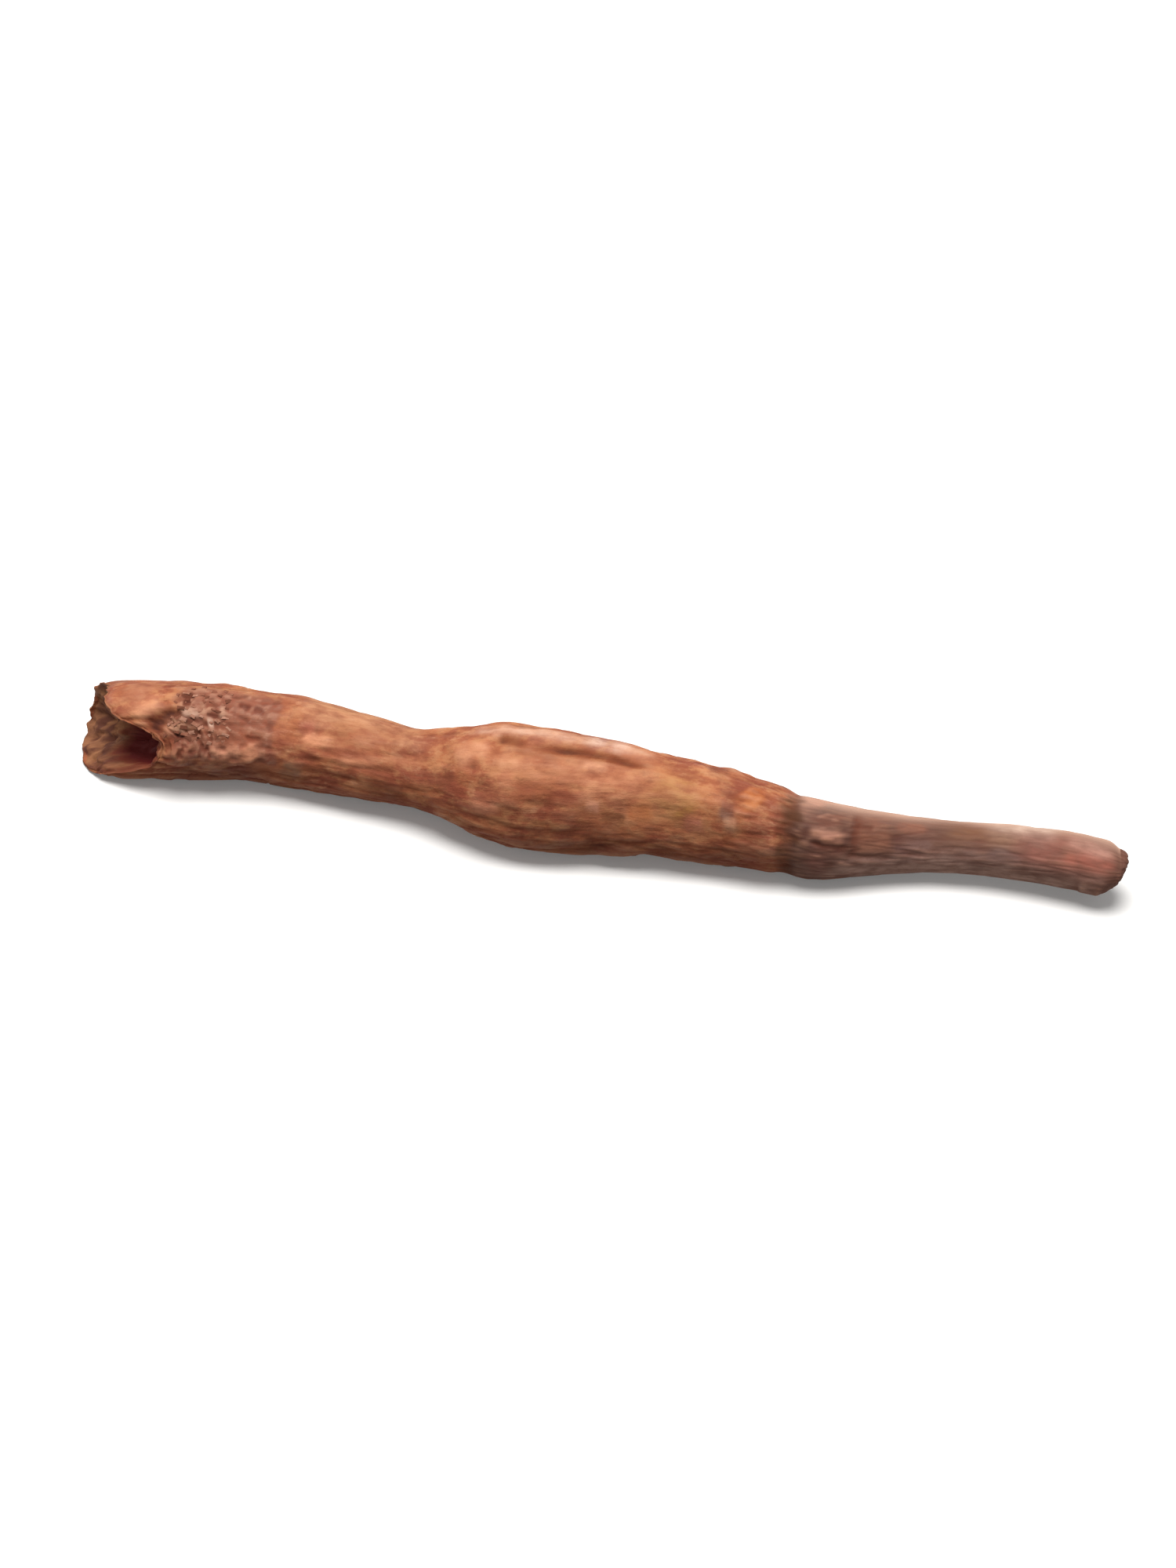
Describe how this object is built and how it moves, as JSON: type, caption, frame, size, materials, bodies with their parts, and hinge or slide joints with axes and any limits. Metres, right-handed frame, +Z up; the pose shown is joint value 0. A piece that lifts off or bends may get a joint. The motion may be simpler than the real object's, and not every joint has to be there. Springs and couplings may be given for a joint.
{
  "type": "dried manjistha root",
  "caption": "Dried red-brown manjistha root length: fissured bark, ragged hollow broken end, swollen middle and a thin cut tail, lying on its side.",
  "frame": {"origin": "middle of the root's bounding box in plan, on the surface that the root lies on", "axes": "+X along the root towards its thin cut end, +Z up, +Y across the root away from the side with the open break"},
  "size_m": [0.1004, 0.0132, 0.0118],
  "materials": {
    "bark": "matt, fissured, dry bark"
  },
  "bodies": {
    "root": {"manjistha_root": "bark"}
  },
  "joints": []
}
